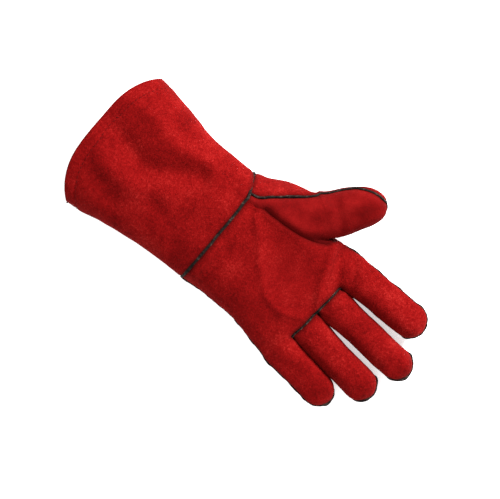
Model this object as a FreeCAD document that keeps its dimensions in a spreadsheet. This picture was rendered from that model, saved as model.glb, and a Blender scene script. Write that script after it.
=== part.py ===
"""A welder's leather gauntlet for the left hand, resting on its back with the palm up.

Split-cowhide panels are sewn over a soft lining, with a thin leather welt in each main seam.
The hand and the cuff are lofted shells; each finger and the thumb is a row of round tubes.
Where the leather bends, one tube ends in a ball-shaped rim and the next in a matching socket,
so that the pieces turn on each other without touching.

Frame: X across the hand towards the little finger, Y towards the fingertips, Z up out of the
palm. The origin is under the middle of the wrist seam, on the plane that the glove rests on.
Lengths are in millimetres and angles in degrees.
"""
import FreeCAD, Part
import math
import os

import Sketcher
from FreeCAD import Placement, Rotation, Vector

doc = FreeCAD.newDocument("welding_gauntlet")

# ---------------------------------------------------------------- driving dimensions

SIZES = [
    # leather, lining and welts
    ("leather", 1.3, "thickness of the leather panels"),
    ("lining", 1.5, "thickness of the fleece and canvas lining"),
    ("layer_gap", 0.15, "clearance between leather and lining"),
    ("welt_thick", 1.6, "thickness of the welt that a seam holds"),
    ("welt_proud", 1.2, "how far a welt stands out of its seam"),
    ("press_flat", 0.3, "how far the leather is pressed flat where it rests"),
    # bends
    ("joint_ratio", 1.17, "radius of a bend's ball rim over the radius of its tube"),
    ("joint_gap", 0.6, "clearance between a ball rim and its socket"),
    # hand
    ("wrist_width", 115, "width across the wrist seam"),
    ("wrist_height", 50, "height of the wrist"),
    ("wrist_hinge", 22, "from the wrist seam's middle to the line the wrist bends about"),
    ("palm_width", 104, "width of the palm half way along"),
    ("palm_height", 42, "height of the palm half way along"),
    ("palm_shift", 2, "middle of the palm, towards the little finger"),
    ("hand_length", 118, "wrist seam to the web between the fingers"),
    ("finger_lift", 0.8, "height of the thickest finger's back above the table"),
    ("finger_gap", 0.8, "least clearance between two fingers' welts"),
    ("hand_margin", 0.6, "leather beyond the outer fingers' welts at the web"),
    # fingers: radius at the web, radius at the tip, and lengths along the finger
    ("middle_x", -12, "middle finger's axis at the web"),
    ("index_radius", 14.4, "index finger's outer radius at its base"),
    ("index_tip_radius", 15.2, "index finger's outer radius at its tip"),
    ("index_first", 14, "web to the first bend"),
    ("index_second", 33, "first bend to the second"),
    ("index_reach", 38, "second bend to the tip"),
    ("index_splay", 0, "turn of the index finger towards the little finger"),
    ("middle_radius", 13.4, "middle finger's outer radius at its base"),
    ("middle_tip_radius", 13.6, "middle finger's outer radius at its tip"),
    ("middle_first", 14, "web to the first bend"),
    ("middle_second", 41, "first bend to the second"),
    ("middle_reach", 46, "second bend to the tip"),
    ("middle_splay", 2.2, "turn of the middle finger towards the little finger"),
    ("ring_radius", 13.4, "ring finger's outer radius at its base"),
    ("ring_tip_radius", 14, "ring finger's outer radius at its tip"),
    ("ring_first", 13, "web to the first bend"),
    ("ring_second", 35, "first bend to the second"),
    ("ring_reach", 40, "second bend to the tip"),
    ("ring_splay", 7, "turn of the ring finger towards the little finger"),
    ("little_radius", 13.6, "little finger's outer radius at its base"),
    ("little_tip_radius", 13.4, "little finger's outer radius at its tip"),
    ("little_first", 13, "web to the first bend"),
    ("little_second", 24, "first bend to the second"),
    ("little_reach", 27, "second bend to the tip"),
    ("little_splay", 7, "turn of the little finger"),
    # thumb, measured from its first bend
    ("thumb_out", 8, "first bend outside the palm's edge"),
    ("thumb_along", 59, "first bend along the hand from the wrist seam"),
    ("thumb_height", 28, "height of the first bend"),
    ("thumb_turn", 47.5, "turn of the thumb away from the fingers"),
    ("thumb_rise", 12, "climb of the thumb out of the palm's plane"),
    ("thumb_roll", 20, "turn of the thumb's front panel towards the index finger"),
    ("thumb_root", 32, "length of the thumb's root inside the palm"),
    ("thumb_radius", 18, "thumb's outer radius at its first bend"),
    ("thumb_tip_radius", 15.5, "thumb's outer radius at its tip"),
    ("thumb_second", 37, "first bend to the second"),
    ("thumb_reach", 31, "second bend to the tip"),
    # cuff
    ("cuff_length", 141, "wrist seam to the middle of the cuff's mouth"),
    ("waist_along", 55, "wrist seam to the cuff's waist"),
    ("waist_width", 115, "width of the cuff's waist"),
    ("waist_height", 55, "height of the cuff's waist"),
    ("mouth_width", 142, "width of the cuff's mouth"),
    ("mouth_height", 69, "height of the cuff's mouth"),
    ("mouth_lift", 2, "height of the mouth's back above the table"),
    ("mouth_shift", 1.5, "middle of the mouth, towards the little finger"),
    ("mouth_bow", 23, "how far the mouth's sides stand back from its middle"),
    ("hem_depth", 14, "depth of the cuff's edge that is turned in"),
    ("hem_line", 10, "hem stitching to the edge of the mouth"),
    # hem stitches
    ("stitch_length", 3.2, "length of one stitch"),
    ("stitch_pitch", 4.6, "spacing of the stitches"),
    ("thread_radius", 0.4, "radius of the sewing thread"),
    ("thread_lift", 0.2, "clearance of the thread over the leather"),
    # extents of the cutting shapes, all beyond the glove
    ("reach_out", 260, "how far a cutting shape reaches past the glove"),
]

FINGERS = ["index", "middle", "ring", "little"]

sheet = doc.addObject("Spreadsheet::Sheet", "Sizes")
for row, (alias, number, meaning) in enumerate(SIZES, start=1):
    sheet.set(f"A{row}", alias)
    sheet.set(f"B{row}", str(number))
    sheet.set(f"C{row}", meaning)
    sheet.setAlias(f"B{row}", alias)
doc.recompute()


def value(expression):
    """The number that an expression over the sheet gives now."""
    result = sheet.evalExpression(expression)
    return float(getattr(result, "Value", result))


def size(alias):
    return f"Sizes.{alias}"


# Sizes that follow from the driving ones, as expressions.

WALL = "(Sizes.leather + Sizes.layer_gap + Sizes.lining)"
MID_INSET = size("leather")
LINING_INSET = "(Sizes.leather + Sizes.layer_gap)"
WELT_INSET = "(0 - Sizes.welt_proud)"
HALF_WELT = "(Sizes.welt_thick / 2)"
TUBE_MAX = (
    "max(Sizes.index_radius; Sizes.middle_radius; Sizes.ring_radius; Sizes.little_radius)"
)
TIP_MAX = (
    "max(Sizes.index_tip_radius; Sizes.middle_tip_radius;"
    " Sizes.ring_tip_radius; Sizes.little_tip_radius)"
)
FINGER_Z = f"(max({TUBE_MAX}; {TIP_MAX}) + Sizes.finger_lift)"
WRIST_MID = "(Sizes.wrist_height / 2)"
WRIST_BALL = "(Sizes.joint_ratio * Sizes.wrist_height / 2)"
WRIST_SOCKET = f"({WRIST_BALL} + Sizes.welt_thick + Sizes.joint_gap)"
SEAM_SLOPE = f"atan(({FINGER_Z} - Sizes.wrist_height / 2) / Sizes.hand_length)"
MOUTH_ROUND = (
    "(((Sizes.mouth_width / 2) ^ 2 + Sizes.mouth_bow ^ 2) / (2 * Sizes.mouth_bow))"
)
MOUTH_CENTRE = f"({MOUTH_ROUND} - Sizes.cuff_length)"


def widest(finger):
    """Largest radius of a finger, with its welt."""
    radii = f"max(Sizes.{finger}_radius; Sizes.{finger}_tip_radius)"
    return f"({radii} + Sizes.welt_proud)"


def beside(finger, neighbour):
    """Spacing of two fingers' axes at the web."""
    return f"({widest(finger)} + {widest(neighbour)} + Sizes.finger_gap)"


MIDDLE_X = size("middle_x")
RING_X = f"({MIDDLE_X} + {beside('middle', 'ring')})"
ROOT_X = {
    "index": f"({MIDDLE_X} - {beside('index', 'middle')})",
    "middle": MIDDLE_X,
    "ring": RING_X,
    "little": f"({RING_X} + {beside('ring', 'little')})",
}
WEB_LOW_X = f"({ROOT_X['index']} - {widest('index')} - Sizes.hand_margin)"
WEB_HIGH_X = f"({ROOT_X['little']} + {widest('little')} + Sizes.hand_margin)"
WEB_WIDTH = f"({WEB_HIGH_X} - {WEB_LOW_X})"
WEB_MID_X = f"(({WEB_HIGH_X} + {WEB_LOW_X}) / 2)"
WEB_HEIGHT = f"(2 * {TUBE_MAX} + Sizes.welt_proud)"

THUMB_X = "(Sizes.palm_shift - Sizes.palm_width / 2 - Sizes.thumb_out)"
THUMB_TURN = (
    "rotation(vector(0; 0; 1); Sizes.thumb_turn)"
    " * rotation(vector(1; 0; 0); Sizes.thumb_rise)"
    " * rotation(vector(0; 1; 0); Sizes.thumb_roll)"
)


def finger_turn(finger):
    return f"rotation(vector(0; 0; 1); 0 - Sizes.{finger}_splay)"


def along_finger(finger, distance):
    """Point on a finger's axis, a distance from the web, as a vector expression."""
    origin = f"vector({ROOT_X[finger]}; Sizes.hand_length; {FINGER_Z})"
    return f"({origin} + {finger_turn(finger)} * vector(0; {distance}; 0))"


def along_thumb(distance):
    """Point on the thumb's axis, a distance past its first bend."""
    origin = f"vector({THUMB_X}; Sizes.thumb_along; Sizes.thumb_height)"
    return f"({origin} + {THUMB_TURN} * vector(0; {distance}; 0))"


# ---------------------------------------------------------------- drawing helpers


def put(part, point, turn="rotation(vector(0; 0; 1); 0)"):
    part.setExpression("Placement", f"placement({point}; {turn})")
    return part


def made(kind, name, point=None, turn="rotation(vector(0; 0; 1); 0)", **sizes):
    """A Part primitive whose sizes and place are bound to the sheet."""
    part = doc.addObject(f"Part::{kind}", name)
    for prop, expression in sizes.items():
        part.setExpression(prop, expression)
    if point:
        put(part, point, turn)
    return part


def fused(name, shapes):
    part = doc.addObject("Part::MultiFuse", name)
    part.Shapes = shapes
    return part


def shared(name, shapes):
    part = doc.addObject("Part::MultiCommon", name)
    part.Shapes = shapes
    return part


def cut(name, base, tool):
    part = doc.addObject("Part::Cut", name)
    part.Base = base
    part.Tool = tool
    return part


def rule(sketch, kind, *geometry, to=None):
    """Adds a constraint, bound to an expression when it has a size."""
    if to is None:
        sketch.addConstraint(Sketcher.Constraint(kind, *geometry))
        return
    index = sketch.addConstraint(Sketcher.Constraint(kind, *geometry, value(to)))
    sketch.setExpression(f"Constraints[{index}]", to)


ORIGIN = (-1, 1)
X_AXIS = -1
Y_AXIS = -2
START, END, CENTRE = 1, 2, 3

# ---------------------------------------------------------------- round tubes of the fingers


def ring_arc(radius, inner, outer, centre_y):
    """Arc of a ball rim or a socket, from the tube's inner wall to its outer wall."""
    circle = Part.Circle(Vector(0, centre_y, 0), Vector(0, 0, 1), radius)
    return Part.ArcOfCircle(circle, -math.acos(inner / radius), -math.acos(outer / radius))


def arc_end(radius, x, centre_y):
    return Vector(x, centre_y - math.sqrt(radius**2 - x**2), 0)


def rim(sketch, ball, inner, outer):
    """The ball rim at the start of a tube, about the bend at the sketch's origin."""
    arc = sketch.addGeometry(ring_arc(value(ball), value(inner), value(outer), 0))
    rule(sketch, "Coincident", arc, CENTRE, *ORIGIN)
    rule(sketch, "Radius", arc, to=ball)
    rule(sketch, "DistanceX", *ORIGIN, arc, START, to=inner)
    rule(sketch, "DistanceX", *ORIGIN, arc, END, to=outer)
    return arc


def open_tube(sketch, ball, inner, outer, length, socket, end_inner, end_outer):
    """Half section of a tube from one bend to the next: ball rim, walls and socket."""
    reach = value(length)
    hole = value(socket)
    first = rim(sketch, ball, inner, outer)
    last = sketch.addGeometry(ring_arc(hole, value(end_inner), value(end_outer), reach))
    outside = sketch.addGeometry(
        Part.LineSegment(
            arc_end(value(ball), value(outer), 0), arc_end(hole, value(end_outer), reach)
        )
    )
    inside = sketch.addGeometry(
        Part.LineSegment(
            arc_end(value(ball), value(inner), 0), arc_end(hole, value(end_inner), reach)
        )
    )
    rule(sketch, "PointOnObject", last, CENTRE, Y_AXIS)
    rule(sketch, "DistanceY", *ORIGIN, last, CENTRE, to=length)
    rule(sketch, "Radius", last, to=socket)
    rule(sketch, "DistanceX", *ORIGIN, last, START, to=end_inner)
    rule(sketch, "DistanceX", *ORIGIN, last, END, to=end_outer)
    rule(sketch, "Coincident", first, END, outside, START)
    rule(sketch, "Coincident", outside, END, last, END)
    rule(sketch, "Coincident", first, START, inside, START)
    rule(sketch, "Coincident", inside, END, last, START)


def closed_tube(sketch, ball, inner, outer, length, cap_inner, cap_outer):
    """Half section of a fingertip: ball rim, walls and a round end."""
    reach = value(length)
    first = rim(sketch, ball, inner, outer)
    caps = []
    for radius in (cap_outer, cap_inner):
        circle = Part.Circle(Vector(0, reach, 0), Vector(0, 0, 1), value(radius))
        cap = sketch.addGeometry(Part.ArcOfCircle(circle, 0, math.pi / 2))
        rule(sketch, "PointOnObject", cap, CENTRE, Y_AXIS)
        rule(sketch, "DistanceY", *ORIGIN, cap, CENTRE, to=length)
        rule(sketch, "Radius", cap, to=radius)
        rule(sketch, "PointOnObject", cap, END, Y_AXIS)
        rule(sketch, "Horizontal", cap, CENTRE, cap, START)
        caps.append(cap)
    outer_cap, inner_cap = caps
    outside = sketch.addGeometry(
        Part.LineSegment(
            arc_end(value(ball), value(outer), 0), Vector(value(cap_outer), reach, 0)
        )
    )
    inside = sketch.addGeometry(
        Part.LineSegment(
            arc_end(value(ball), value(inner), 0), Vector(value(cap_inner), reach, 0)
        )
    )
    tip = sketch.addGeometry(
        Part.LineSegment(
            Vector(0, reach + value(cap_outer), 0), Vector(0, reach + value(cap_inner), 0)
        )
    )
    rule(sketch, "Coincident", first, END, outside, START)
    rule(sketch, "Coincident", outside, END, outer_cap, START)
    rule(sketch, "Coincident", first, START, inside, START)
    rule(sketch, "Coincident", inside, END, inner_cap, START)
    rule(sketch, "Coincident", tip, START, outer_cap, END)
    rule(sketch, "Coincident", tip, END, inner_cap, END)


def origin_plane(body, role):
    return next(f for f in body.Origin.OriginFeatures if f.Role == role)


def trim(body, label, height, upward):
    """Cuts away all that lies above, or below, a plane parallel to the body's XY plane."""
    sketch = body.newObject("Sketcher::SketchObject", f"{label}_trim_sketch")
    sketch.AttachmentSupport = (origin_plane(body, "XY_Plane"), [""])
    sketch.MapMode = "FlatFace"
    sketch.setExpression(".AttachmentOffset.Base.z", height)
    disc = sketch.addGeometry(
        Part.Circle(Vector(0, 0, 0), Vector(0, 0, 1), value("Sizes.reach_out"))
    )
    rule(sketch, "Coincident", disc, CENTRE, *ORIGIN)
    rule(sketch, "Radius", disc, to="Sizes.reach_out")
    pocket = body.newObject("PartDesign::Pocket", f"{label}_trim")
    pocket.Profile = sketch
    pocket.Type = "ThroughAll"
    pocket.Reversed = upward
    body.Tip = pocket


def turned_body(label, draw, point, turn):
    """A body turned about its own Y axis from the half section that draw makes."""
    body = doc.addObject("PartDesign::Body", label)
    body.Label = label
    sketch = body.newObject("Sketcher::SketchObject", f"{label}_section")
    sketch.AttachmentSupport = (origin_plane(body, "XY_Plane"), [""])
    sketch.MapMode = "FlatFace"
    draw(sketch)
    tube = body.newObject("PartDesign::Revolution", f"{label}_turned")
    tube.Profile = sketch
    tube.ReferenceAxis = (sketch, ["V_Axis"])
    tube.Angle = 360
    body.Tip = tube
    put(body, point, turn)
    return body


# A layer of a tube: its outer and inner walls, as what is taken off the tube's radius.
LAYERS = {
    "leather": ("0", MID_INSET),
    "welt": (WELT_INSET, MID_INSET),
    "lining": (LINING_INSET, WALL),
}

nodes = []


def tube_nodes(name, point, turn, radius, end_radius, length, tip):
    """Front and back leather, welt and lining of one stretch of a finger."""
    ball = f"(Sizes.joint_ratio * {radius})"
    socket = f"(Sizes.joint_ratio * {end_radius} + Sizes.joint_gap)"

    def section(layer):
        off, bore = LAYERS[layer]
        walls = (ball, f"({radius} - {bore})", f"({radius} - {off})")
        ends = (f"({end_radius} - {bore})", f"({end_radius} - {off})")
        if tip:
            return lambda sketch: closed_tube(sketch, *walls, length, *ends)
        return lambda sketch: open_tube(sketch, *walls, length, socket, *ends)

    front = turned_body(f"{name}_front", section("leather"), point, turn)
    trim(front, f"{name}_front", HALF_WELT, upward=False)
    back = turned_body(f"{name}_back", section("leather"), point, turn)
    trim(back, f"{name}_back", f"(0 - {HALF_WELT})", upward=True)
    welt = turned_body(f"{name}_welt", section("welt"), point, turn)
    trim(welt, f"{name}_welt_low", f"(0 - {HALF_WELT})", upward=False)
    trim(welt, f"{name}_welt_high", HALF_WELT, upward=True)
    inside = turned_body(f"{name}_lining", section("lining"), point, turn)
    nodes.extend([front, back, welt, inside])


for finger in FINGERS:
    base_radius = size(f"{finger}_radius")
    tip_radius = size(f"{finger}_tip_radius")
    first = size(f"{finger}_first")
    second = size(f"{finger}_second")
    tube_nodes(
        f"{finger}_finger_base",
        along_finger(finger, first),
        finger_turn(finger),
        base_radius,
        tip_radius,
        second,
        tip=False,
    )
    tube_nodes(
        f"{finger}_fingertip",
        along_finger(finger, f"({first} + {second})"),
        finger_turn(finger),
        tip_radius,
        tip_radius,
        f"(Sizes.{finger}_reach - {tip_radius})",
        tip=True,
    )

tube_nodes(
    "thumb_base",
    along_thumb("0"),
    THUMB_TURN,
    size("thumb_radius"),
    size("thumb_tip_radius"),
    size("thumb_second"),
    tip=False,
)
tube_nodes(
    "thumb_tip",
    along_thumb(size("thumb_second")),
    THUMB_TURN,
    size("thumb_tip_radius"),
    size("thumb_tip_radius"),
    "(Sizes.thumb_reach - Sizes.thumb_tip_radius)",
    tip=True,
)

# ---------------------------------------------------------------- lofted hand and cuff


def oval(name, width, height, x, y, z, inset):
    """An upright section with round sides and flat top and bottom, inset all round."""
    sketch = doc.addObject("Sketcher::SketchObject", name)
    round_side = f"({height} / 2 - {inset})"
    reach = f"(({width} - {height}) / 2)"
    r = value(round_side)
    c = value(reach)
    normal = Vector(0, 0, 1)
    quarter = math.pi / 2
    top = sketch.addGeometry(Part.LineSegment(Vector(-c, r, 0), Vector(c, r, 0)))
    right_circle = Part.Circle(Vector(c, 0, 0), normal, r)
    right = sketch.addGeometry(Part.ArcOfCircle(right_circle, -quarter, quarter))
    bottom = sketch.addGeometry(Part.LineSegment(Vector(c, -r, 0), Vector(-c, -r, 0)))
    left_circle = Part.Circle(Vector(-c, 0, 0), normal, r)
    left = sketch.addGeometry(Part.ArcOfCircle(left_circle, quarter, 3 * quarter))
    rule(sketch, "Tangent", top, END, right, END)
    rule(sketch, "Tangent", right, START, bottom, START)
    rule(sketch, "Tangent", bottom, END, left, END)
    rule(sketch, "Tangent", left, START, top, START)
    rule(sketch, "PointOnObject", right, CENTRE, X_AXIS)
    rule(sketch, "PointOnObject", left, CENTRE, X_AXIS)
    rule(sketch, "Horizontal", top)
    rule(sketch, "DistanceX", *ORIGIN, right, CENTRE, to=reach)
    rule(sketch, "DistanceX", left, CENTRE, *ORIGIN, to=reach)
    rule(sketch, "Radius", right, to=round_side)
    upright = "rotation(vector(1; 0; 0); 90)"
    return put(sketch, f"vector({x}; {y}; {z})", upright)


def lofted(name, sections):
    part = doc.addObject("Part::Loft", name)
    part.Sections = sections
    part.Solid = True
    part.Ruled = True
    return part


def resting(height):
    """Centre height of a section whose back is pressed against the table."""
    return f"({height} / 2 - Sizes.press_flat)"


HAND_OVERLAP = f"({WRIST_BALL} - Sizes.wrist_hinge + 10)"


def hand_solid(name, inset):
    """The hand's outline at one inset: the loft from wrist to web, and the five tube roots."""
    wrist = (size("wrist_width"), size("wrist_height"), "0")
    end = f"(Sizes.hand_length - {inset})"
    sections = [
        oval(f"{name}_wrist_end", *wrist, f"(0 - {HAND_OVERLAP})", resting(wrist[1]), inset),
        oval(f"{name}_wrist", *wrist, "0", resting(wrist[1]), inset),
        oval(
            f"{name}_palm",
            size("palm_width"),
            size("palm_height"),
            size("palm_shift"),
            "(Sizes.hand_length / 2)",
            resting(size("palm_height")),
            inset,
        ),
        oval(f"{name}_web", WEB_WIDTH, WEB_HEIGHT, WEB_MID_X, end, FINGER_Z, inset),
    ]
    solids = [lofted(f"{name}_loft", sections)]
    for finger in FINGERS:
        solids.append(
            made(
                "Cylinder",
                f"{name}_{finger}_root",
                along_finger(finger, f"(0 - Sizes.{finger}_radius)"),
                f"{finger_turn(finger)} * rotation(vector(1; 0; 0); 270)",
                Radius=f"(Sizes.{finger}_radius - {inset})",
                Height=f"(Sizes.{finger}_radius + Sizes.{finger}_first)",
            )
        )
    solids.append(
        made(
            "Cylinder",
            f"{name}_thumb_root",
            along_thumb("(0 - Sizes.thumb_root)"),
            f"{THUMB_TURN} * rotation(vector(1; 0; 0); 270)",
            Radius=f"(Sizes.thumb_radius - {inset})",
            Height=size("thumb_root"),
        )
    )
    return fused(name, solids)


def cuff_solid(name, inset):
    """The cuff's outline at one inset, from past the wrist seam to past the mouth."""
    mouth_middle = "(Sizes.mouth_height / 2 + Sizes.mouth_lift)"
    wrist = (size("wrist_width"), size("wrist_height"), "0")
    sections = [
        oval(f"{name}_wrist_end", *wrist, size("wrist_hinge"), resting(wrist[1]), inset),
        oval(f"{name}_wrist", *wrist, "0", resting(wrist[1]), inset),
        oval(
            f"{name}_waist",
            size("waist_width"),
            size("waist_height"),
            "(Sizes.mouth_shift / 2)",
            "(0 - Sizes.waist_along)",
            resting(size("waist_height")),
            inset,
        ),
        oval(
            f"{name}_mouth",
            size("mouth_width"),
            size("mouth_height"),
            size("mouth_shift"),
            "(0 - Sizes.cuff_length)",
            mouth_middle,
            inset,
        ),
    ]
    return lofted(name, sections)


# Cutting shapes: the two sides of the seam plane, the seam's slab, and the bends.

SEAM_TURN = f"rotation(vector(1; 0; 0); {SEAM_SLOPE})"


def seam_box(name, low, height):
    """A wide box over the seam plane, from low up to low plus height."""
    corner = f"vector(0 - Sizes.reach_out; 0 - Sizes.reach_out; {low})"
    return made(
        "Box",
        name,
        f"(vector(0; 0; {WRIST_MID}) + {SEAM_TURN} * {corner})",
        SEAM_TURN,
        Length="2 * Sizes.reach_out",
        Width="2 * Sizes.reach_out",
        Height=height,
    )


front_side = seam_box("front_side", HALF_WELT, size("reach_out"))
seam_slab = seam_box("seam_slab", f"(0 - {HALF_WELT})", size("welt_thick"))
below_seam = seam_box("below_seam", f"(0 - {HALF_WELT} - Sizes.reach_out)", size("reach_out"))
above_table = made(
    "Box",
    "above_table",
    "vector(0 - Sizes.reach_out; 0 - Sizes.reach_out; 0)",
    Length="2 * Sizes.reach_out",
    Width="2 * Sizes.reach_out",
    Height=size("reach_out"),
)
back_side = shared("back_side", [below_seam, above_table])


def wrist_cylinder(name, radius):
    return made(
        "Cylinder",
        name,
        f"vector(0 - Sizes.reach_out; Sizes.wrist_hinge; {WRIST_MID})",
        "rotation(vector(0; 1; 0); 90)",
        Radius=radius,
        Height="2 * Sizes.reach_out",
    )


wrist_ball = wrist_cylinder("wrist_ball", WRIST_BALL)
wrist_welt_edge = wrist_cylinder("wrist_welt_edge", f"({WRIST_BALL} + Sizes.welt_thick)")
wrist_socket = wrist_cylinder("wrist_socket", WRIST_SOCKET)
past_wrist = made(
    "Box",
    "past_wrist",
    "vector(0 - Sizes.reach_out; Sizes.wrist_hinge; 0 - Sizes.reach_out)",
    Length="2 * Sizes.reach_out",
    Width="2 * Sizes.reach_out",
    Height="2 * Sizes.reach_out",
)
hand_side = fused("hand_side", [past_wrist, wrist_ball])
cuff_end = fused("cuff_end", [past_wrist, wrist_socket])

sockets = [
    made(
        "Sphere",
        f"{finger}_socket",
        along_finger(finger, size(f"{finger}_first")),
        Radius=f"(Sizes.joint_ratio * Sizes.{finger}_radius + Sizes.joint_gap)",
    )
    for finger in FINGERS
]
sockets.append(
    made(
        "Sphere",
        "thumb_socket",
        along_thumb("0"),
        Radius="(Sizes.joint_ratio * Sizes.thumb_radius + Sizes.joint_gap)",
    )
)
bends = fused("bends", sockets)

# Hand: leather in two panels, side welts, wrist welt, finger-base welt and lining.

hand_outer = hand_solid("hand_outer", "0")
hand_mid = hand_solid("hand_mid", MID_INSET)
hand_lining_outer = hand_solid("hand_lining_outer", LINING_INSET)
hand_inner = hand_solid("hand_inner", WALL)
hand_proud = hand_solid("hand_proud", WELT_INSET)


def hand_piece(label, outer, inner, region):
    """A layer of the hand, cut out at the bends and kept within its regions."""
    layer = cut(f"{label}_layer", outer, inner)
    opened = cut(f"{label}_opened", layer, bends)
    piece = shared(label, [opened, *region])
    piece.Label = label
    nodes.append(piece)
    return piece


hand_piece("palm_leather", hand_outer, hand_mid, [hand_side, front_side])
hand_piece("hand_back_leather", hand_outer, hand_mid, [hand_side, back_side])
hand_piece("hand_side_welt", hand_proud, hand_mid, [hand_side, seam_slab])
hand_piece("hand_lining", hand_lining_outer, hand_inner, [hand_side])
wrist_band = cut("wrist_band", wrist_welt_edge, fused("not_wrist_band", [past_wrist, wrist_ball]))
hand_piece("wrist_welt", hand_proud, hand_mid, [wrist_band, above_table])

base_welt_strip = made(
    "Box",
    "base_welt_strip",
    f"vector({MIDDLE_X} - Sizes.middle_radius; Sizes.hand_length - 2 * Sizes.welt_thick;"
    f" {FINGER_Z})",
    Length=f"({RING_X} - {MIDDLE_X} + Sizes.middle_radius + Sizes.ring_radius)",
    Width=size("welt_thick"),
    Height=size("reach_out"),
)
base_welt_layer = cut("base_welt_layer", hand_proud, hand_outer)
base_welt = shared("finger_base_welt", [base_welt_layer, base_welt_strip])
base_welt.Label = "finger_base_welt"
nodes.append(base_welt)

# Cuff: leather in two panels, the turned-in hem and the lining behind it.

cuff_outer = cuff_solid("cuff_outer", "0")
cuff_mid = cuff_solid("cuff_mid", MID_INSET)
cuff_lining_outer = cuff_solid("cuff_lining_outer", LINING_INSET)
cuff_hem_inner = cuff_solid("cuff_hem_inner", "(Sizes.leather + Sizes.layer_gap + Sizes.leather)")
cuff_inner = cuff_solid("cuff_inner", WALL)


def mouth_shape(name, short):
    """What lies within the bowed edge of the mouth, drawn short by a distance."""
    bow = made(
        "Cylinder",
        f"{name}_bow",
        f"vector(Sizes.mouth_shift; {MOUTH_CENTRE}; 0 - Sizes.reach_out)",
        Radius=f"({MOUTH_ROUND} - {short})",
        Height="2 * Sizes.reach_out",
    )
    rest = made(
        "Box",
        f"{name}_rest",
        f"vector(0 - Sizes.reach_out; {MOUTH_CENTRE}; 0 - Sizes.reach_out)",
        Length="2 * Sizes.reach_out",
        Width="2 * Sizes.reach_out",
        Height="2 * Sizes.reach_out",
    )
    return fused(name, [bow, rest])


to_edge = mouth_shape("to_edge", "0")
to_hem = mouth_shape("to_hem", size("hem_depth"))


def cuff_piece(label, outer, inner, region):
    layer = cut(f"{label}_layer", outer, inner)
    opened = cut(f"{label}_opened", layer, cuff_end)
    piece = shared(label, [opened, *region])
    piece.Label = label
    nodes.append(piece)
    return piece


cuff_piece("cuff_front_leather", cuff_outer, cuff_mid, [to_edge, front_side])
cuff_piece("cuff_back_leather", cuff_outer, cuff_mid, [to_edge, back_side])
cuff_piece("cuff_side_welt", cuff_outer, cuff_mid, [to_edge, seam_slab])
hem_band = cut("hem_band", to_edge, to_hem)
cuff_piece("hem_facing", cuff_lining_outer, cuff_hem_inner, [hem_band])
cuff_piece("cuff_lining", cuff_lining_outer, cuff_inner, [to_hem])

doc.recompute()

# Hem stitching: short rods laid end to end over the leather, along a line beside the mouth.


def stitch(start, end, outward):
    """One stitch, a rod on the leather from start to end."""
    lift = outward * (value("Sizes.thread_radius") + value("Sizes.thread_lift"))
    return Part.makeCylinder(
        value("Sizes.thread_radius"), (end - start).Length, start + lift, end - start
    )


def hem_stitches():
    edge_round = value(MOUTH_ROUND)
    line = edge_round - value("Sizes.hem_line")
    reach = value("Sizes.reach_out")
    centre = Vector(value("Sizes.mouth_shift"), value(MOUTH_CENTRE), -reach)
    wall = Part.makeCylinder(line, 2 * reach, centre, Vector(0, 0, 1), 180)
    wall.rotate(centre, Vector(0, 0, 1), 180)
    path = Part.Wire(Part.__sortEdges__(wall.Faces[0].section(cuff_outer.Shape).Edges))
    count = round(path.Length / value("Sizes.stitch_pitch"))
    points = path.discretize(Number=count + 1)
    share = value("Sizes.stitch_length") / value("Sizes.stitch_pitch")
    middle = sum(points[:-1], Vector(0, 0, 0)) * (1 / count)
    rods = []
    for here, there in zip(points, points[1:]):
        along = there - here
        outward = (here + there) * 0.5 - middle
        outward.y = 0
        outward = outward - along * (outward.dot(along) / along.dot(along))
        outward.normalize()
        rods.append(stitch(here, here + along * share, outward))
    return Part.makeCompound(rods)


stitching = doc.addObject("Part::Feature", "hem_stitching")
stitching.Label = "hem_stitching"
stitching.Shape = hem_stitches()
stitching.Placement = Placement(Vector(0, 0, 0), Rotation())
nodes.append(stitching)

# ---------------------------------------------------------------- checks and export

doc.recompute()
faulty = [o.Name for o in doc.Objects if {"Invalid", "Error"} & set(o.State)]
if faulty:
    raise RuntimeError(f"these objects did not rebuild: {faulty}")
for node in nodes:
    if node.Shape.isNull() or not node.Shape.isValid() or not node.Shape.Solids:
        raise RuntimeError(f"{node.Label} has no valid solid")

os.makedirs("parts", exist_ok=True)
for node in nodes:
    node.Shape.exportStep(f"parts/{node.Label}.step")
    print(f"{node.Label:28s} solids {len(node.Shape.Solids)}  {node.Shape.Volume / 1000:8.2f} cm3")
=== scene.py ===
import math

import bmesh
import bpy
from mathutils import Matrix, Vector, noise
from mathutils.bvhtree import BVHTree
from mathutils.kdtree import KDTree


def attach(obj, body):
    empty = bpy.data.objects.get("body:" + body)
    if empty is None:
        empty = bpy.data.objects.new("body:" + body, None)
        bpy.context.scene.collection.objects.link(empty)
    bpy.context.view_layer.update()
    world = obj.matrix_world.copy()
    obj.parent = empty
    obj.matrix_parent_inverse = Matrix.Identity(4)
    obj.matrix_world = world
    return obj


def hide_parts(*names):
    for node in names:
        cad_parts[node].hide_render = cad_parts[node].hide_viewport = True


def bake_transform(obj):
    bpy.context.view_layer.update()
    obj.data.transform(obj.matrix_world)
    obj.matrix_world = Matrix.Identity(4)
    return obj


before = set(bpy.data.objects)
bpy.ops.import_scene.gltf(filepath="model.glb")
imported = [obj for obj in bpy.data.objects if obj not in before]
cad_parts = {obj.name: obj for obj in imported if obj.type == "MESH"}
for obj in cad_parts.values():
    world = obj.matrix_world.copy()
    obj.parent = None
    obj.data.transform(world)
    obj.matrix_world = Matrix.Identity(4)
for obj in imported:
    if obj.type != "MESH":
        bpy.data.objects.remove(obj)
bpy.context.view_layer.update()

# ------------------------------------------------------------------ table, camera and lights
# A pale, faintly glowing light table under the glove, a large soft lamp on the thumb's side and
# a weaker one across from it. The camera looks straight down, the fingers pointing low right.

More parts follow.
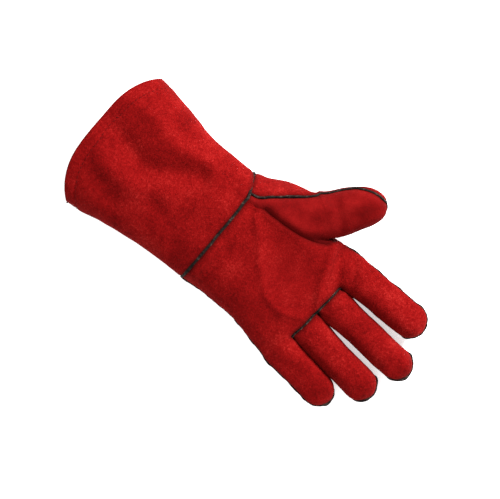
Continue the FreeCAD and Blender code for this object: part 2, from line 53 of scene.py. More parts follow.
MM = 0.001
scene = bpy.context.scene
scene.view_settings.view_transform = "Standard"
scene.view_settings.look = "None"

table = bpy.data.meshes.new("table_top")
top = bmesh.new()
bmesh.ops.create_grid(top, x_segments=1, y_segments=1, size=2)
top.to_mesh(table)
top.free()
table_top = bpy.data.objects.new("table_top", table)
scene.collection.objects.link(table_top)
table_finish = bpy.data.materials.new("white_table")
table_finish.use_nodes = True
table_shader = table_finish.node_tree.nodes["Principled BSDF"]
table_shader.inputs["Base Color"].default_value = (0.93, 0.93, 0.93, 1)
table_shader.inputs["Roughness"].default_value = 0.7
table_shader.inputs["Emission Color"].default_value = (1, 1, 1, 1)
table_shader.inputs["Emission Strength"].default_value = 0.52
table.materials.append(table_finish)

IMAGE_RIGHT = Vector((-0.643, 0.766, 0))
IMAGE_UP = Vector((-0.766, -0.643, 0))
LOOK_AT = Vector((-1.6, 36.9, 25)) * MM
VIEW_WIDTH = 450 * MM
LENS = 110
SENSOR = 36
camera_data = bpy.data.cameras.new("camera")
camera_data.lens = LENS
camera_data.sensor_width = SENSOR
camera = bpy.data.objects.new("camera", camera_data)
turn = Matrix((IMAGE_RIGHT, IMAGE_UP, Vector((0, 0, 1)))).transposed().to_4x4()
distance = VIEW_WIDTH * LENS / SENSOR
camera.matrix_world = Matrix.Translation(LOOK_AT + Vector((0, 0, distance))) @ turn
scene.collection.objects.link(camera)
scene.camera = camera


def soft_lamp(name, place, aim, size, power):
    lamp_data = bpy.data.lights.new(name, "AREA")
    lamp_data.shape = "DISK"
    lamp_data.size = size
    lamp_data.energy = power
    lamp = bpy.data.objects.new(name, lamp_data)
    towards = (Vector(aim) - Vector(place)).to_track_quat("-Z", "Y")
    lamp.matrix_world = Matrix.Translation(place) @ towards.to_matrix().to_4x4()
    scene.collection.objects.link(lamp)


soft_lamp("key_lamp", (-1.15, 0.25, 0.85), (0, 0.05, 0), 0.7, 54)
soft_lamp("fill_lamp", (0.7, 0.3, 1.3), (0, 0.03, 0), 1.2, 8)
world = bpy.data.worlds.new("room")
world.use_nodes = True
world.node_tree.nodes["Background"].inputs["Color"].default_value = (1, 1, 1, 1)
world.node_tree.nodes["Background"].inputs["Strength"].default_value = 0.62
scene.world = world

# ------------------------------------------------------------------ leather of the hand
# Split cowhide, sewn inside out and turned: a palm panel that carries the fronts of the index
# and little fingers, a back panel, separate fronts for the middle and ring fingers, and a thumb
# front that comes out of the palm. It is drawn as one skin, whose edge loops are the seams.

WRIST_THUMB_SIDE = -5
WRIST_FAR_SIDE = 3
WRIST_MIDDLE = 7
WRIST_HALF = 58
WRIST_LEFT = -57.5
WRIST_SEAM_HEIGHT = 24.5
MID_PALM = 55
WEB = 118
FINGER_HEIGHT = 16
UNDERSIDE = 0.2
PALM_SQUARENESS = 2.7
BACK_SQUARENESS = 4
# How much of the wrist seam's bow each row of the hand keeps, from the wrist on.
BOW_KEPT = [1, 0.5, 0.15]


def mix(low, high, share):
    return low + (high - low) * share


def smoothly(share):
    share = min(max(share, 0), 1)
    return share * share * (3 - 2 * share)


def wrist_seam_y(x):
    """The wrist seam runs straight over the hand and drops back at its sides."""
    share = min(abs(x - 0.5) / WRIST_HALF, 1)
    if x < 0:
        return mix(WRIST_MIDDLE, WRIST_THUMB_SIDE, share**5)
    return mix(WRIST_MIDDLE, WRIST_FAR_SIDE, share**30)


def dome(x, left, right, tall, squareness):
    """Height of a rounded section's outline over its middle, at x."""
    share = min(abs(x - (left + right) / 2) / ((right - left) / 2), 1)
    return tall * (1 - share**squareness) ** (1 / squareness)


# Across the hand there are nine columns of points in front and nine behind, at these x.
COLUMNS_WRIST = [-38.5, -31.5, -21, -10, 3, 16, 28, 40, 50]
COLUMNS_PALM = [-51, -41, -26, -11.5, 3, 18, 32, 45, 52]
COLUMNS_WEB = [-58.5, -45, -27, -12, 3, 19.5, 34, 49.5, 61.5]
BACK_WRIST = [-50, -40, -26, -11.5, 3, 17, 30, 42, 50]
# Rows of the hand from the wrist: y, left and right edge, height of the palm's top.
HAND_ROWS = [
    (7, -57.5, 57, 49),
    (15, -62.5, 56, 48),
    (25, -66, 55, 46.5),
    (41, -66, 54.5, 45),
    (57, -60, 55, 43),
    (74, -59, 57, 40.5),
    (90, -60.5, 60, 37),
    (104, -60.5, 63.5, 33),
]
THUMB_FIRST_ROW = 2
THUMB_LAST_ROW = 6
WEB_FRONT_Y = [118, 119.5, 122, 121, 120, 118.5, 116.5, 115.5, 114.5]
# The thumb grows out of the palm's edge between these points, which replace the plain ones.
THUMB_ROOT = {
    (0, 1): [(-70.5, 22, 20), (-66.5, 40, 15), (-60.5, 56, 12), (-58.5, 73, 14), (-59.5, 90, 21)],
    (0, 2): [(-51, 24, 43), None, None, None, (-57, 89.5, 29)],
    (1, 2): [(-36.5, 23, 46.5), (-37.5, 41, 46), (-39, 58, 44), (-43, 75, 39), (-50, 86, 34)],
}

# Towards the web the side seams rise by so much.
SIDE_SEAM_RISE = 2.5


def seam_height(y):
    """The side seams run from half way up the wrist down to the fingers' middles."""
    return mix(WRIST_SEAM_HEIGHT, FINGER_HEIGHT, y / WEB)


def hand_point(row, place):
    """A drawn point of the hand, by its row from the wrist and its place in the section."""
    column, level = place
    y, left, right, tall = HAND_ROWS[row]
    if place in THUMB_ROOT and THUMB_FIRST_ROW <= row <= THUMB_LAST_ROW:
        drawn = THUMB_ROOT[place][row - THUMB_FIRST_ROW]
        if drawn:
            return Vector(drawn)
    middle = seam_height(y)
    if level == 1:
        x = left if column == 0 else right
        z = middle + SIDE_SEAM_RISE * smoothly((y - 75) / 20)
    else:
        share = y / MID_PALM
        if level == 2:
            x = mix(COLUMNS_WRIST[column], COLUMNS_PALM[column], min(share, 1))
        else:
            x = mix(BACK_WRIST[column], COLUMNS_PALM[column], min(share, 1))
        if share > 1:
            x = mix(COLUMNS_PALM[column], COLUMNS_WEB[column], (y - MID_PALM) / (WEB - MID_PALM))
        edge = max(left, WRIST_LEFT)
        if level == 2:
            z = middle + dome(x, edge, right, tall - middle, PALM_SQUARENESS)
        else:
            z = middle - dome(x, edge, right, middle - UNDERSIDE, BACK_SQUARENESS)
    if row < len(BOW_KEPT):
        y += (wrist_seam_y(x) - WRIST_MIDDLE) * BOW_KEPT[row]
    return Vector((x, y, z))


def web_point(place):
    """A drawn point of the row where the fingers part."""
    column, level = place
    crotch = column in (2, 4, 6)
    x = COLUMNS_WEB[column]
    y = WEB_FRONT_Y[column]
    if level == 1:
        x = {0: -61, 8: 66.5}.get(column, x)
        return Vector((x, y - 0.5, FINGER_HEIGHT + SIDE_SEAM_RISE))
    edge = column in (0, 8)
    if level == 2:
        return Vector((x, y, 25.5 if crotch else 25 if edge else 29.6))
    return Vector((x, y - 2, 6.5 if crotch else 6 if edge else 2.4))


# The fingers: axis at the web, turn, length from web to tip, half widths at the base and at the
# tip, half height, and the distances from the web to the two bends. Between the bends, each
# finger is parted into its base and its tip, at a distance from the web of its own.
FINGERS = {
    "index": dict(x=-45.2, turn=0, length=85, base=16.5, tip=16.2, half=13.8, bends=(12.5, 45.5)),
    "middle": dict(x=-12, turn=3.1, length=98.5, base=15.6, tip=14.8, half=13.2, bends=(11, 52)),
    "ring": dict(x=19.5, turn=6.6, length=88, base=15.6, tip=15.8, half=13.3, bends=(12.5, 47.5)),
    "little": dict(x=50.1, turn=6.2, length=65, base=16.3, tip=14.6, half=12.8, bends=(15.5, 39.5)),
}
PART_LINES = {"index": 30.5, "middle": 34.5, "ring": 30.5, "little": 27.5}
FINGER_SQUARENESS = 2.25
THUMB_SQUARENESS = 2.2
# Turns of the eight points round a finger, from the little finger's side over the front.
FINGER_ROUND = {
    (2, 1): 0,
    (2, 2): 45,
    (1, 2): 90,
    (0, 2): 135,
    (0, 1): 180,
    (0, 0): 225,
    (1, 0): 270,
    (2, 0): 315,
}
# Between two fingers the seam lies lower than on the outer sides, and isn't seen from above.
# There the fingers are also wider, most of all at the web, by so much on each inner side.
INNER_SIDES = {
    "index": {2: 3.1},
    "middle": {0: 3.1, 2: 2.1},
    "ring": {0: 2.1, 2: 0.9},
    "little": {0: 0.9},
}
INNER_FULLER = 0.5
WEB_FULLER_REACH = 17
SEAM_DROP = 17
OUTER_SEAM_RISE = 14
# Towards the tips of the two middle fingers the seam turns up on the little finger's side.
TIP_ROLL = {"middle": 44, "ring": 36}
TIP_ROLL_FROM = 0.72
TIP_ROLL_SPAN = 0.2
# Rows of points along the base and along the tip, as shares of each.
BASE_ROWS = (0.3, 0.64, 1)
TIP_ROWS = (0.22, 0.44, 0.64, 0.8, 0.92, 0.985)


def squared(angle, power):
    """Cosine and sine on a slightly squared circle."""
    c, s = math.cos(math.radians(angle)), math.sin(math.radians(angle))
    return (
        math.copysign(abs(c) ** (2 / power), c),
        math.copysign(abs(s) ** (2 / power), s),
    )


def round_end(left, radius):
    """Share of the full width that remains at a distance from the tip."""
    return 1 if left >= radius else math.sqrt(max(1 - (1 - left / radius) ** 2, 0))


def finger_point(finger, reach, place):
    """A drawn point of a finger, by its distance from the web and its place in the section."""
    size = FINGERS[finger]
    forward = Matrix.Rotation(math.radians(-size["turn"]), 3, "Z")
    origin = Vector((size["x"], WEB_FRONT_Y[2 * list(FINGERS).index(finger) + 1], FINGER_HEIGHT))
    share = reach / size["length"]
    width = mix(size["base"], size["tip"], share)
    end = round_end(size["length"] - reach, size["tip"])
    if place == (1, 1):
        return origin + forward @ Vector((0, reach, 0))
    angle = FINGER_ROUND[place]
    inner = INNER_SIDES[finger]
    side, level = place
    if level == 1:
        drop = SEAM_DROP if side in inner else -OUTER_SEAM_RISE
        if side in inner:
            width += INNER_FULLER
        if side == 2:
            drop -= TIP_ROLL.get(finger, 0) * smoothly((share - TIP_ROLL_FROM) / TIP_ROLL_SPAN)
        angle += -drop if side == 2 else drop
    if side in inner:
        width += inner[side] * math.exp(-((reach / WEB_FULLER_REACH) ** 2))
    c, s = squared(angle, FINGER_SQUARENESS)
    return origin + forward @ Vector((c * width * end, reach, s * size["half"] * end))


# The thumb, along its axis from the bend at the palm: distance, offset, half width, half height,
# and lean of the row.
THUMB_BEND = Vector((-58, 59, 28))
THUMB_AXES = (
    Matrix.Rotation(math.radians(47.5), 3, "Z")
    @ Matrix.Rotation(math.radians(12), 3, "X")
    @ Matrix.Rotation(math.radians(20), 3, "Y")
)
THUMB_FOLD = Vector((-0.92, 0.39, 0)).normalized()
THUMB_ROWS = [
    (8, 0.3, 22.7, 17, 0.3),
    (17, 0, 22, 16, 0.7),
    (26, 0, 20.5, 15, 1),
    (36, -1.5, 20, 14.2, 0.6),
    (46, -2.5, 18.8, 13.6, 0.3),
    (55, -2.8, 17, 12.8, 0.1),
    (62.5, -2.6, 14, 11.2, 0),
    (67.6, -2.3, 9.8, 8.4, 0),
    (70.3, -2.2, 5.4, 5, 0),
]
# The last point: distance, offset, height, and spread of the points beside it.
THUMB_TIP = (71.4, -2.2, 1, 2.5)
# Turn of the outer seam in each row: lowest a third of the way, and over the front at the tip.
THUMB_SEAM = [164, 176, 187, 190, 184, 172, 158, 146, 137]
# The points just behind the seam keep at least these turns from it.
THUMB_BESIDE_SEAM = {(0, 0): 22, (1, 0): 46, (2, 0): 70}
THUMB_ROUND = {
    (4, 1): -10,
    (4, 2): 17,
    (3, 2): 43,
    (2, 2): 70,
    (1, 2): 97,
    (0, 2): 123,
    (0, 1): 150,
    (0, 0): 183,
    (1, 0): 217,
    (2, 0): 250,
    (3, 0): 283,
    (4, 0): 317,
}


def thumb_point(row, place):
    """A drawn point of the thumb. Its middle rows lean, square to the fold at the palm."""
    across = THUMB_AXES @ Vector((1, 0, 0))
    forward = THUMB_AXES @ Vector((0, 1, 0))
    up = THUMB_AXES @ Vector((0, 0, 1))
    reach, offset, half, tall, lean = THUMB_ROWS[row]
    if place in THUMB_ROUND:
        seam = THUMB_SEAM[row]
        angle = THUMB_ROUND[place]
        if place in THUMB_BESIDE_SEAM:
            angle = max(angle, seam + THUMB_BESIDE_SEAM[place])
        if place == (0, 1):
            angle = seam
        c, s = squared(angle, THUMB_SQUARENESS)
        side = across * (offset + c * half) + up * s * tall
        reach -= lean * side.dot(THUMB_FOLD) / forward.dot(THUMB_FOLD)
        return THUMB_BEND + forward * reach + side
    reach, offset, raised_by, spacing = THUMB_TIP
    spread = (place[0] - 2) * spacing
    return THUMB_BEND + forward * reach + across * (offset + spread) + up * raised_by


# The cage of the skin: a sheet of squares across the web, drawn out into fingers one way and
# into the hand the other way, and the thumb drawn out of the hand's side.

cage = bmesh.new()
bmesh.ops.create_grid(cage, x_segments=8, y_segments=2, size=1)
PIECES = ["palm_leather", "hand_back_leather", "thumb_root_front"]
for finger in [*FINGERS, "thumb"]:
    stretch = "finger_base" if finger != "thumb" else "base"
    end = "fingertip" if finger != "thumb" else "tip"
    for part in (f"{finger}_{stretch}", f"{finger}_{end}"):
        PIECES += [f"{part}_front", f"{part}_back"]
PANEL = {"palm_leather": "palm", "hand_back_leather": "back", "thumb_root_front": "thumb"}
for piece in PIECES[3:]:
    digit = piece.split("_")[0]
    own_front = {"index": "palm", "little": "palm"}.get(digit, digit)
    PANEL[piece] = own_front if piece.endswith("front") else "back"

web = {}
for vertex in cage.verts:
    column = round((vertex.co.x + 1) * 4)
    level = round(vertex.co.y + 1)
    web[column, level] = vertex
for place, vertex in web.items():
    vertex.co = web_point(place)


def drawn_out(patch, edges_only=False):
    """Extrudes a patch of the cage, a map from places to vertices, and returns the new map."""
    corners = set(patch.values())
    if edges_only:
        rim = [e for e in cage.edges if e.is_boundary and set(e.verts) <= corners]
        made = bmesh.ops.extrude_edge_only(cage, edges=rim)
        spent = []
    else:
        spent = [f for f in cage.faces if set(f.verts) <= corners]
        made = bmesh.ops.extrude_face_region(cage, geom=spent)
    fresh = [v for v in made["geom"] if isinstance(v, bmesh.types.BMVert)]
    moved = {}
    for vertex in fresh:
        place = min(patch, key=lambda p: (patch[p].co - vertex.co).length)
        moved[place] = vertex
    bmesh.ops.delete(cage, geom=[f for f in spent if f.is_valid], context="FACES")
    return moved


def label(before, after, name):
    """Names the pieces of the squares between two rows, by a function of their places."""
    both = set(before.values()) | set(after.values())
    where = {v: p for p, v in [*before.items(), *after.items()]}
    for face in cage.faces:
        if set(face.verts) <= both:
            face.material_index = PIECES.index(name([where[v] for v in face.verts]))


def level_of(places):
    return sum(level for _, level in places) / len(places)


for number, (finger, size) in enumerate(FINGERS.items()):
    patch = {(c, l): web[2 * number + c, l] for c in range(3) for l in range(3)}
    part = PART_LINES[finger]
    rows = [("finger_base", part * share) for share in BASE_ROWS]
    rows += [("fingertip", mix(part, size["length"], share)) for share in TIP_ROWS]
    for stretch, reach in rows:
        outer = drawn_out(patch)
        for place, vertex in outer.items():
            vertex.co = finger_point(finger, reach, place)

        def side_name(places, stretch=stretch, finger=finger):
            side = "front" if level_of(places) > 1 else "back"
            return f"{finger}_{stretch}_{side}"

        label(patch, outer, side_name)
        patch = outer
    patch[1, 1].co = finger_point(finger, size["length"], (1, 1))

hand_rows = [None] * len(HAND_ROWS)
last = {p: v for p, v in web.items() if v.is_valid and (p[0] in (0, 8) or p[1] != 1)}
for row in reversed(range(len(HAND_ROWS))):
    inner = drawn_out(last, edges_only=True)
    for place, vertex in inner.items():
        vertex.co = hand_point(row, place)

    def palm_or_back(places, row=row):
        columns = [column for column, _ in places]
        if level_of(places) > 1:
            if row < THUMB_FIRST_ROW and max(columns) == 0:
                return "hand_back_leather"
            if row < THUMB_FIRST_ROW and max(columns) == 1:
                return "thumb_root_front"
            return "palm_leather"
        return "hand_back_leather"

    label(last, inner, palm_or_back)
    hand_rows[row] = inner
    last = inner

patch = {}
for number in range(5):
    row = hand_rows[THUMB_FIRST_ROW + number]
    for level, place in enumerate([(0, 1), (0, 2), (1, 2)]):
        patch[number, level] = row[place]
for number in range(len(THUMB_ROWS)):
    outer = drawn_out(patch)
    for place, vertex in outer.items():
        vertex.co = thumb_point(number, place)

    def thumb_side(places, number=number):
        stretch = "base" if number <= 2 else "tip"
        return f"thumb_{stretch}_{'front' if level_of(places) > 1 else 'back'}"

    label(patch, outer, thumb_side)
    patch = outer
bmesh.ops.recalc_face_normals(cage, faces=cage.faces)
bmesh.ops.scale(cage, vec=(MM, MM, MM), verts=cage.verts)


def mesh_of(bm, name):
    mesh = bpy.data.meshes.new(name)
    bm.to_mesh(mesh)
    return mesh


def subdivided(mesh, levels):
    """The mesh with a smooth subdivision of so many levels."""
    holder = bpy.data.objects.new("subdividing", mesh)
    scene.collection.objects.link(holder)
    rounder = holder.modifiers.new("rounder", "SUBSURF")
    rounder.levels = levels
    rounder.render_levels = levels
    seen = holder.evaluated_get(bpy.context.evaluated_depsgraph_get())
    result = bpy.data.meshes.new_from_object(seen)
    bpy.data.objects.remove(holder)
    return result


def through_points(mesh, rounds=4, pull=0.85):
    """Moves the cage so that its smooth skin passes through the points as drawn."""
    wanted = [v.co.copy() for v in mesh.vertices]
    for _ in range(rounds):
        skin = subdivided(mesh, 2)
        for vertex, goal in zip(mesh.vertices, wanted):
            vertex.co += (goal - skin.vertices[vertex.index].co) * pull
        bpy.data.meshes.remove(skin)


hand_cage = mesh_of(cage, "hand_cage")
through_points(hand_cage)
hand_skin = subdivided(hand_cage, 3)


# ------------------------------------------------------------------ leather of the cuff
# Two panels of the same split cowhide, joined at the sides, flared over the forearm. The edge
# at the mouth is turned in and sewn down. It is drawn as one tube, with the turned-in edge.

MOUTH_MIDDLE = -139.5
MOUTH_BOW = 22
MOUTH_HALF = 71
MOUTH_TALL = 70
MOUTH_LEAN = 4.5
MOUTH_SQUARENESS = 3.4
CUFF_RAISED = 1.4
# Rows of the cuff from the wrist: y in front, left and right edge, height of its top, and the
# share of the wrist seam's bow and of the mouth's bow in the row.
CUFF_ROWS = [
    (7, -57.5, 57, 49, 1, 0),
    (-5, -57, 57, 49.5, 0.6, 0),
    (-20, -56.5, 57.5, 51, 0.2, 0),
    (-38, -56, 58.5, 53, 0, 0),
    (-57, -57, 60.5, 56, 0, 0.1),
    (-77, -60.5, 63, 60, 0, 0.3),
    (-97, -63.5, 65.5, 64, 0, 0.55),
    (-113, -65, 68, 67, 0, 0.78),
    (-126, -66.5, 69.5, 69.5, 0, 1),
    (MOUTH_MIDDLE, -67.8, 70.8, 71, 0, 1),
]
# The turned-in edge: distance past the mouth's edge, and depth under the outer surface. The
# first three rows are the fold itself, and the others the flap that is sewn down inside.
FOLD_ROWS = [(1.1, 0.5), (1.8, 2.1), (1.1, 3.7), (-1.2, 4.2), (-7.5, 4.2), (-14, 4.2)]
FOLD_ITSELF = 3
CUFF_POINTS = 28


def mouth_set_back(x, z):
    """How far the mouth's edge stands back: at its corners, and at its upper side."""
    share = min(abs(x + 1) / MOUTH_HALF, 1)
    return MOUTH_BOW * share**MOUTH_SQUARENESS + MOUTH_LEAN * z / MOUTH_TALL


def cuff_point(row, angle, past=0, under=0):
    """A drawn point of the cuff, by its row from the wrist and its turn from the far side."""
    y, left, right, tall, wrist_share, mouth_share = row
    middle = seam_height(y)
    low = UNDERSIDE + CUFF_RAISED * smoothly((-80 - y) / 60)
    c, s = squared(angle, PALM_SQUARENESS if angle <= 180 else BACK_SQUARENESS)
    x = (right + left) / 2 + ((right - left) / 2 - under) * c
    z = middle + s * ((tall - middle if s > 0 else middle - low) - under)
    y += (wrist_seam_y(x) - WRIST_MIDDLE) * wrist_share + mouth_set_back(x, z) * mouth_share
    return Vector((x, y - past, z))


CUFF_PIECES = ["cuff_front_leather", "cuff_back_leather", "hem_facing"]
PANEL |= {"cuff_front_leather": "front", "cuff_back_leather": "rear", "hem_facing": "facing"}
tube = bmesh.new()
ring = bmesh.ops.create_circle(tube, segments=CUFF_POINTS, radius=1)["verts"]
ring.sort(key=lambda v: math.atan2(v.co.y, v.co.x) % (2 * math.pi))
angles = [360 * number / CUFF_POINTS for number in range(CUFF_POINTS)]
for vertex, angle in zip(ring, angles):
    vertex.co = cuff_point(CUFF_ROWS[0], angle)
rows = [(row, 0, 0) for row in CUFF_ROWS[1:]]
rows += [(CUFF_ROWS[-1], past, under) for past, under in FOLD_ROWS]
for number, (row, past, under) in enumerate(rows):
    rim = [e for e in tube.edges if set(e.verts) <= set(ring)]
    made = bmesh.ops.extrude_edge_only(tube, edges=rim)
    fresh = [v for v in made["geom"] if isinstance(v, bmesh.types.BMVert)]
    following = [min(fresh, key=lambda v: (v.co - old.co).length) for old in ring]
    for vertex, angle in zip(following, angles):
        vertex.co = cuff_point(row, angle, past, under)
    seen_at = dict(zip([*ring, *following], angles * 2))
    for face in tube.faces:
        if set(face.verts) <= set(seen_at):
            held = [seen_at[v] for v in face.verts]
            in_front = max(held) <= 180
            if number >= len(CUFF_ROWS) - 1 + FOLD_ITSELF:
                face.material_index = 2
            else:
                face.material_index = 0 if in_front else 1
    ring = following
bmesh.ops.recalc_face_normals(tube, faces=tube.faces)
bmesh.ops.scale(tube, vec=(MM, MM, MM), verts=tube.verts)
cuff_cage = mesh_of(tube, "cuff_cage")
through_points(cuff_cage)
cuff_skin = subdivided(cuff_cage, 3)

# ------------------------------------------------------------------ furrows, folds and hollows
# The leather is thick and soft. Each seam pulls it down into a furrow and puffs it up beside
# that, and wear has pressed hollows into the palm and soft folds into the fingers and the cuff.

# Folds seen from above: points of the fold's line, its height and its half width.
HAND_FOLDS = [
    ([(-53, 93), (-31, 101), (-12, 110), (1, 118)], 3.5, 4.3),
    ([(1, 118), (14, 115), (25, 93), (22, 74), (2, 51), (-15, 36), (-27, 22)], 1.9, 3.3),
    ([(-46, 106), (-38, 111), (-24, 119)], -2.8, 4.5),
    ([(-12, 88), (-2, 78)], -3.8, 17),
    ([(-20, 52), (-10, 62)], -1.8, 12),
    ([(-52, 118), (-40, 126), (-30, 131)], -1.4, 4),
    ([(-27, 133), (-18, 139)], -2.2, 3.2),
    ([(-27, 139), (-15, 133)], 1.0, 3),
    ([(-16, 172), (3, 174)], -1.2, 5),
    ([(10, 150), (34, 146)], -0.9, 4),
    ([(40, 139), (66, 134)], -1.2, 4),
    ([(36, 96), (50, 104), (61, 102)], -1.4, 6),
    ([(12, 14), (52, 13)], 1.4, 4),
    ([(12, 22), (50, 21)], -1.0, 4),
    ([(-62, 32), (-52, 26)], -1.8, 4),
    ([(-82, 70), (-68, 88)], -1.0, 5),
    ([(-36.5, 23), (-37.5, 41), (-39, 58), (-43, 75), (-50, 86)], -1.1, 2.3),
    ([(-43, 34), (-45, 50), (-49, 66), (-55, 78)], 0.9, 5),
    ([(-30, 16), (-31, 40), (-33, 60)], -0.9, 4),
]
CUFF_FOLDS = [
    ([(-33, -132), (-37, -105), (-30, -72), (-36, -42)], 2.6, 8),
    ([(-8, -134), (-3, -104), (4, -80), (-13, -54), (-22, -38)], -5.6, 10),
    ([(12, -132), (26, -104), (22, -72), (8, -50)], 2.2, 8),
    ([(44, -86), (36, -98), (40, -112)], -2.6, 9),
    ([(58, -110), (52, -126)], -1.5, 6),
    ([(46, -12), (30, -30), (20, -60)], -1.4, 7),
    ([(-44, -18), (-30, -8)], -1.2, 6),
]
HEM_LINE = 10
HEM_GROOVE = 0.6
HEM_GROOVE_WIDTH = 1.7
# A seam's furrow is deeper where the thread puckers it, and a soft ridge runs beside it.
FURROW_DEPTH = 0.9
FURROW_WIDTH = 2.2
PUCKER = 0.5
RIDGE = 0.45
RIDGE_AWAY = 6
RIDGE_WIDTH = 3.5
# The skin's unevenness: broad and narrow waves.
BROAD_WAVES = 0.75
BROAD_LENGTH = 27
NARROW_WAVES = 0.28
NARROW_LENGTH = 9
# What the paint on the mesh says: painted shade along the seams' furrows, and the rubbed hollow of
# the palm.
SEAM_SHADE_WIDTH = 3.2
RUBBED_SPOT = Vector((-10, 74, 40))
RUBBED_WIDTH = 36


def distance_to_line(place, line):
    """Distance from a point to a line of straight runs."""
    nearest = math.inf
    for start, end in zip(line, line[1:]):
        run = end - start
        share = min(max((place - start).dot(run) / run.length_squared, 0), 1)
        nearest = min(nearest, (place - start - run * share).length)
    return nearest


def bump_at(distance, width):
    """A smooth rise from 0 to 1 and back, round a place."""
    return math.exp(-((distance / width) ** 2))


def is_seam(edge, panels):
    """Whether an edge is sewn: one panel meets another there, or the hand meets the cuff."""
    if edge.is_boundary:
        return edge.verts[0].co.y > -50 * MM
    met = {panels[face.material_index] for face in edge.link_faces}
    return len(met) == 2 and "facing" not in met


def hidden(edge, panels):
    """Whether a seam lies flat under the leather: the thumb's front meets the palm at the wrist."""
    met = {panels[face.material_index] for face in edge.link_faces}
    return met == {"palm", "thumb"} and edge.verts[0].co.y < 24 * MM


def from_the_mouth(place):
    """Distance of a point of the cuff from the edge of its mouth."""
    return place.y - MOUTH_MIDDLE - mouth_set_back(place.x, place.z)


def sculpted(skin, pieces, folds):
    """Presses the seams' furrows, the folds and the unevenness of the leather into a skin."""
    panels = [PANEL[piece] for piece in pieces]
    work = bmesh.new()
    work.from_mesh(skin)
    work.normal_update()
    seams = {v for e in work.edges if is_seam(e, panels) and not hidden(e, panels) for v in e.verts}
    nearest_seam = KDTree(len(seams))
    for number, vertex in enumerate(seams):
        nearest_seam.insert(vertex.co / MM, number)
    nearest_seam.balance()
    seam_shade_layer = work.verts.layers.float.new("painted_seam_shade")
    rubbed = work.verts.layers.float.new("rubbed")
    lines = [([Vector(p) for p in line], height, width) for line, height, width in folds]
    moves = []
    for vertex in work.verts:
        place = vertex.co / MM
        gap = nearest_seam.find(place)[2]
        pucker = noise.noise(place * 0.22)
        move = -bump_at(gap, FURROW_WIDTH) * (FURROW_DEPTH + PUCKER * pucker)
        move += RIDGE * bump_at(gap - RIDGE_AWAY, RIDGE_WIDTH)
        broad = BROAD_WAVES * noise.noise(place / BROAD_LENGTH)
        narrow = NARROW_WAVES * noise.noise(place / NARROW_LENGTH + Vector((9, 4, 2)))
        move += broad + narrow
        facing_up = smoothly((vertex.normal.z - 0.1) / 0.5)
        if place.y < -20:
            facing_up = smoothly((place.z - 32) / 20)
        pressed = 0
        if facing_up:
            seen = place.to_2d()
            for line, height, width in lines:
                pressed += facing_up * height * bump_at(distance_to_line(seen, line), width)
        if place.y < -100:
            hem = from_the_mouth(place)
            pressed *= mix(0.3, 1, smoothly(hem / 30))
            inside = vertex.link_faces[0].material_index == 2
            move = 0 if inside else move * smoothly((hem - 1) / 10)
            move -= 0 if inside else HEM_GROOVE * bump_at(hem - HEM_LINE, HEM_GROOVE_WIDTH)
        moves.append(vertex.normal * move + Vector((0, 0, pressed)))
        # Painted shade: a mask that darkens the leather along each seam, where its furrow lies in
        # shadow.
        vertex[seam_shade_layer] = bump_at(gap, SEAM_SHADE_WIDTH)
        hollow = bump_at((place - RUBBED_SPOT).length, RUBBED_WIDTH)
        vertex[rubbed] = facing_up * hollow if place.y > 8 else 0
    for vertex, move in zip(work.verts, moves):
        vertex.co += move * MM
        vertex.co.z = max(vertex.co.z, 0.15 * MM)
    return work


hand_shape = sculpted(hand_skin, PIECES, HAND_FOLDS)
cuff_shape = sculpted(cuff_skin, CUFF_PIECES, CUFF_FOLDS)

# ------------------------------------------------------------------ the leather panels
# Split cowhide 1.3 mm thick, dyed red, rough and napped on both faces. Its edges are turned in
# at the seams. The front of the thumb is a smoother hide, and wear has darkened the palm.

LEATHER = 1.3
EDGE_ANGLE = 40
# How far a sewn edge is drawn back from its seam, and how far it is sunk into it.
PLAIN_EDGE = (0.75, 0.8)
WRIST_EDGE_OF_HAND = (0.5, 0.7)
WRIST_EDGE_OF_CUFF = (-1.3, 1.4)
THUMB_ROOT_SUNK = 0.6
BODY = {"palm_leather": "hand", "hand_back_leather": "hand", "thumb_root_front": "hand"}
BODY |= {piece: piece.rsplit("_", 1)[0] for piece in PIECES[3:]}
BODY |= {piece: "cuff" for piece in CUFF_PIECES}
HEIGHT_OF_WRIST = 25
BENDS = {"cuff": ("hand", (0, 14, HEIGHT_OF_WRIST), (0, -30, HEIGHT_OF_WRIST))}
BENDS["hand"] = BENDS["cuff"]
BEND_REACH = 12
for finger in FINGERS:
    near = "hand"
    for stretch, bend in zip(("finger_base", "fingertip"), FINGERS[finger]["bends"]):
        start = finger_point(finger, bend - BEND_REACH, (1, 1))
        end = finger_point(finger, bend + BEND_REACH, (1, 1))
        BENDS[f"{finger}_{stretch}"] = (near, start, end)
        near = f"{finger}_finger_base"
THUMB_OUT = Vector((-0.989, 0.148, 0))
BENDS["thumb_base"] = ("hand", THUMB_BEND + THUMB_OUT * 6.5, THUMB_BEND + THUMB_OUT * 18.5)
BENDS["thumb_tip"] = ("thumb_base", THUMB_BEND + THUMB_FOLD * 24.5, THUMB_BEND + THUMB_FOLD * 46)


def follow(piece):
    """Bakes a soft piece's place in the world into its mesh."""
    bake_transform(piece)


def clouds(tree, place, scale, detail=3, roughness=0.6, distortion=0):
    """A soft random pattern in a material."""
    made = tree.nodes.new("ShaderNodeTexNoise")
    made.inputs["Scale"].default_value = scale
    made.inputs["Detail"].default_value = detail
    made.inputs["Roughness"].default_value = roughness
    made.inputs["Distortion"].default_value = distortion
    tree.links.new(place, made.inputs["Vector"])
    return made.outputs["Fac"]


def blended(tree, parts):
    """Sum of patterns, each times its share."""
    total = None
    for pattern, share in parts:
        scaled = tree.nodes.new("ShaderNodeMath")
        scaled.operation = "MULTIPLY_ADD"
        tree.links.new(pattern, scaled.inputs[0])
        scaled.inputs[1].default_value = share
        if total is None:
            scaled.inputs[2].default_value = 0
        else:
            tree.links.new(total, scaled.inputs[2])
        total = scaled.outputs[0]
    return total


